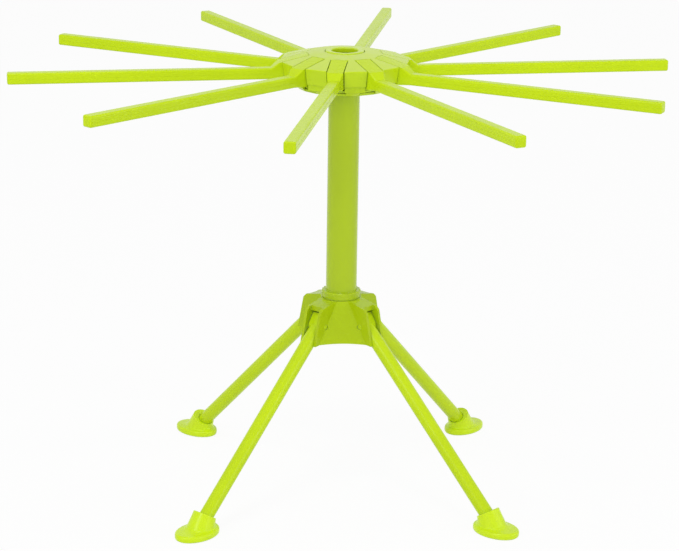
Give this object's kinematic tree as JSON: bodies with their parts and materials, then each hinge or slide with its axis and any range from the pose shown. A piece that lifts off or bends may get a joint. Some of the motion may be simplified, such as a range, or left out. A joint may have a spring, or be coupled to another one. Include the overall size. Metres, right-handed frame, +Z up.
{
  "type": "pasta drying rack",
  "caption": "Tabletop drying rack with radial arms that fold down together from a domed head, a round column and fold-in legs with oval feet.",
  "frame": {"origin": "on the floor under the column's axis, at the middle of the soles", "axes": "+Z is up along the column; the legs stand at 45, 135, 225 and 315 degrees from +X; the first arm stands 6.32 degrees from +X and the others follow every 36 degrees"},
  "size_m": [0.4424, 0.4364, 0.3044],
  "materials": {
    "head_plastic": "glossy moulded",
    "ring_plastic": "glossy moulded",
    "inner_plastic": "as moulded",
    "arm_plastic": "glossy moulded",
    "column_plastic": "glossy extruded",
    "collar_plastic": "glossy moulded",
    "hub_plastic": "glossy moulded",
    "leg_plastic": "glossy moulded",
    "pin_plastic": "as moulded",
    "foot_plastic": "glossy moulded",
    "steel": "plain zinc"
  },
  "bodies": {
    "stand": {"head_body": "head_plastic", "head_base": "head_plastic", "head_screws": "steel", "arm_pin_01": "steel", "arm_pin_02": "steel", "arm_pin_03": "steel", "arm_pin_04": "steel", "arm_pin_05": "steel", "arm_pin_06": "steel", "arm_pin_07": "steel", "arm_pin_08": "steel", "arm_pin_09": "steel", "arm_pin_10": "steel", "column_tube": "column_plastic", "column_collar": "collar_plastic", "leg_hub": "hub_plastic", "hub_cover": "hub_plastic", "column_plug": "inner_plastic", "hub_screw": "steel", "leg_pin_1": "pin_plastic", "leg_pin_2": "pin_plastic", "leg_pin_3": "pin_plastic", "leg_pin_4": "pin_plastic"},
    "lifter": {"lift_ring": "ring_plastic", "lift_carrier": "inner_plastic", "carrier_retainer": "inner_plastic"},
    "arm_01_body": {"arm_01": "arm_plastic"},
    "arm_02_body": {"arm_02": "arm_plastic"},
    "arm_03_body": {"arm_03": "arm_plastic"},
    "arm_04_body": {"arm_04": "arm_plastic"},
    "arm_05_body": {"arm_05": "arm_plastic"},
    "arm_06_body": {"arm_06": "arm_plastic"},
    "arm_07_body": {"arm_07": "arm_plastic"},
    "arm_08_body": {"arm_08": "arm_plastic"},
    "arm_09_body": {"arm_09": "arm_plastic"},
    "arm_10_body": {"arm_10": "arm_plastic"},
    "leg_1_body": {"leg_1": "leg_plastic", "foot_1": "foot_plastic"},
    "leg_2_body": {"leg_2": "leg_plastic", "foot_2": "foot_plastic"},
    "leg_3_body": {"leg_3": "leg_plastic", "foot_3": "foot_plastic"},
    "leg_4_body": {"leg_4": "leg_plastic", "foot_4": "foot_plastic"}
  },
  "joints": [
    {"name": "arm_01_fold", "type": "hinge", "parent": "stand", "child": "arm_01_body", "pos_m": [0.03578, 0.00396, 0.29], "axis": [-0.1101, 0.9939, 0], "range_deg": [0, 84]},
    {"name": "arm_02_fold", "type": "hinge", "parent": "stand", "child": "arm_02_body", "pos_m": [0.02662, 0.02424, 0.29], "axis": [-0.6733, 0.7394, 0], "range_deg": [0, 84]},
    {"name": "arm_03_fold", "type": "hinge", "parent": "stand", "child": "arm_03_body", "pos_m": [0.00729, 0.03525, 0.29], "axis": [-0.9793, 0.2024, 0], "range_deg": [0, 84]},
    {"name": "arm_04_fold", "type": "hinge", "parent": "stand", "child": "arm_04_body", "pos_m": [-0.01483, 0.03281, 0.29], "axis": [-0.9113, -0.4118, 0], "range_deg": [0, 84]},
    {"name": "arm_05_fold", "type": "hinge", "parent": "stand", "child": "arm_05_body", "pos_m": [-0.03128, 0.01783, 0.29], "axis": [-0.4952, -0.8688, 0], "range_deg": [0, 84]},
    {"name": "arm_06_fold", "type": "hinge", "parent": "stand", "child": "arm_06_body", "pos_m": [-0.03578, -0.00396, 0.29], "axis": [0.1101, -0.9939, 0], "range_deg": [0, 84]},
    {"name": "arm_07_fold", "type": "hinge", "parent": "stand", "child": "arm_07_body", "pos_m": [-0.02662, -0.02424, 0.29], "axis": [0.6733, -0.7394, 0], "range_deg": [0, 84]},
    {"name": "arm_08_fold", "type": "hinge", "parent": "stand", "child": "arm_08_body", "pos_m": [-0.00729, -0.03525, 0.29], "axis": [0.9793, -0.2024, 0], "range_deg": [0, 84]},
    {"name": "arm_09_fold", "type": "hinge", "parent": "stand", "child": "arm_09_body", "pos_m": [0.01483, -0.03281, 0.29], "axis": [0.9113, 0.4118, 0], "range_deg": [0, 84]},
    {"name": "arm_10_fold", "type": "hinge", "parent": "stand", "child": "arm_10_body", "pos_m": [0.03128, -0.01783, 0.29], "axis": [0.4952, 0.8688, 0], "range_deg": [0, 84]},
    {"name": "ring_lift", "type": "slide", "parent": "stand", "child": "lifter", "axis": [0, 0, 1], "range_m": [0, 0.00937]},
    {"name": "leg_1_fold", "type": "hinge", "parent": "stand", "child": "leg_1_body", "pos_m": [0.01626, 0.01626, 0.11816], "axis": [-0.7071, 0.7071, 0], "range_deg": [0, 45.32]},
    {"name": "leg_2_fold", "type": "hinge", "parent": "stand", "child": "leg_2_body", "pos_m": [-0.01626, 0.01626, 0.11816], "axis": [-0.7071, -0.7071, 0], "range_deg": [0, 45.32]},
    {"name": "leg_3_fold", "type": "hinge", "parent": "stand", "child": "leg_3_body", "pos_m": [-0.01626, -0.01626, 0.11816], "axis": [0.7071, -0.7071, 0], "range_deg": [0, 45.32]},
    {"name": "leg_4_fold", "type": "hinge", "parent": "stand", "child": "leg_4_body", "pos_m": [0.01626, -0.01626, 0.11816], "axis": [0.7071, 0.7071, 0], "range_deg": [0, 45.32]}
  ],
  "couplings": [
    {"joint": "arm_02_fold", "follows": "arm_01_fold", "ratio": 1},
    {"joint": "arm_03_fold", "follows": "arm_01_fold", "ratio": 1},
    {"joint": "arm_04_fold", "follows": "arm_01_fold", "ratio": 1},
    {"joint": "arm_05_fold", "follows": "arm_01_fold", "ratio": 1},
    {"joint": "arm_06_fold", "follows": "arm_01_fold", "ratio": 1},
    {"joint": "arm_07_fold", "follows": "arm_01_fold", "ratio": 1},
    {"joint": "arm_08_fold", "follows": "arm_01_fold", "ratio": 1},
    {"joint": "arm_09_fold", "follows": "arm_01_fold", "ratio": 1},
    {"joint": "arm_10_fold", "follows": "arm_01_fold", "ratio": 1},
    {"joint": "ring_lift", "follows": "arm_01_fold", "m_per_rad": 0.0063897}
  ]
}
